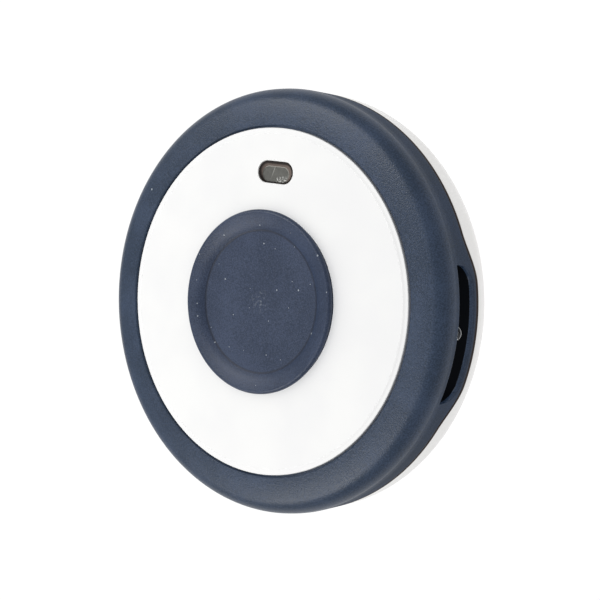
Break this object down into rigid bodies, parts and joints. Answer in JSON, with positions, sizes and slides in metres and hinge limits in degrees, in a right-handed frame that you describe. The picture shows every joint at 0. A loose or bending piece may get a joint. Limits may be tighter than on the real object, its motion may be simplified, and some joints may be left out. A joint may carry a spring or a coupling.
{
  "type": "bluetooth tracker tag",
  "caption": "Round coin-cell tracker tag: soft-touch dark case with a flat pale face, central push button, small light window, strap slots in the rim and a rounded pale rear cover.",
  "frame": {"origin": "centre of the flat back face, on the surface that the tag lies on", "axes": "+Z out of the face and along the button's travel, +Y towards the light window, +X towards one of the two strap slots"},
  "size_m": [0.04, 0.04, 0.0096],
  "materials": {
    "soft_navy": "soft-touch matte, fine grain",
    "white_cover": "fine satin moulding",
    "white_face": "satin, very fine grain",
    "navy_rubber": "matte elastomer",
    "grey_silicone": "matte",
    "black_rubber": "matte",
    "clear_adhesive": "film",
    "smoked_clear": "smoked clear, polished",
    "black_plastic": "matte",
    "chip_black": "moulded epoxy",
    "green_board": "solder mask over glass laminate",
    "ceramic_body": "fired ceramic",
    "light_resin": "clear resin over a white cup",
    "cell_steel": "nickel plated",
    "spring_steel": "plated spring strip",
    "pin_steel": "bright stainless"
  },
  "bodies": {
    "case": {"front_housing": "soft_navy", "rear_cover": "white_cover", "case_seal": "grey_silicone", "face_plate": "white_face", "plate_adhesive": "clear_adhesive", "light_window": "smoked_clear", "light_shield": "black_rubber", "switch_body": "black_plastic", "switch_cover": "spring_steel", "circuit_board": "green_board", "battery_cell": "cell_steel", "battery_holder": "black_plastic", "positive_contact": "spring_steel", "negative_contact": "spring_steel", "buzzer": "black_plastic", "bluetooth_chip": "chip_black", "crystal": "cell_steel", "chip_antenna": "ceramic_body", "motion_sensor": "chip_black", "status_light": "light_resin", "light_resistor": "chip_black", "capacitor_1": "ceramic_body", "capacitor_2": "ceramic_body", "capacitor_3": "ceramic_body", "capacitor_4": "ceramic_body", "strap_pin_right": "pin_steel", "strap_pin_left": "pin_steel", "cover_screw_1": "pin_steel", "cover_screw_2": "pin_steel", "cover_screw_3": "pin_steel", "cover_screw_4": "pin_steel"},
    "button": {"button_cap": "navy_rubber", "button_carrier": "black_plastic", "switch_plunger": "black_plastic"}
  },
  "joints": [
    {"name": "button_press", "type": "slide", "parent": "case", "child": "button", "axis": [0, 0, -1], "range_m": [0, 0.0005], "stiffness_N_per_m": 2400}
  ]
}
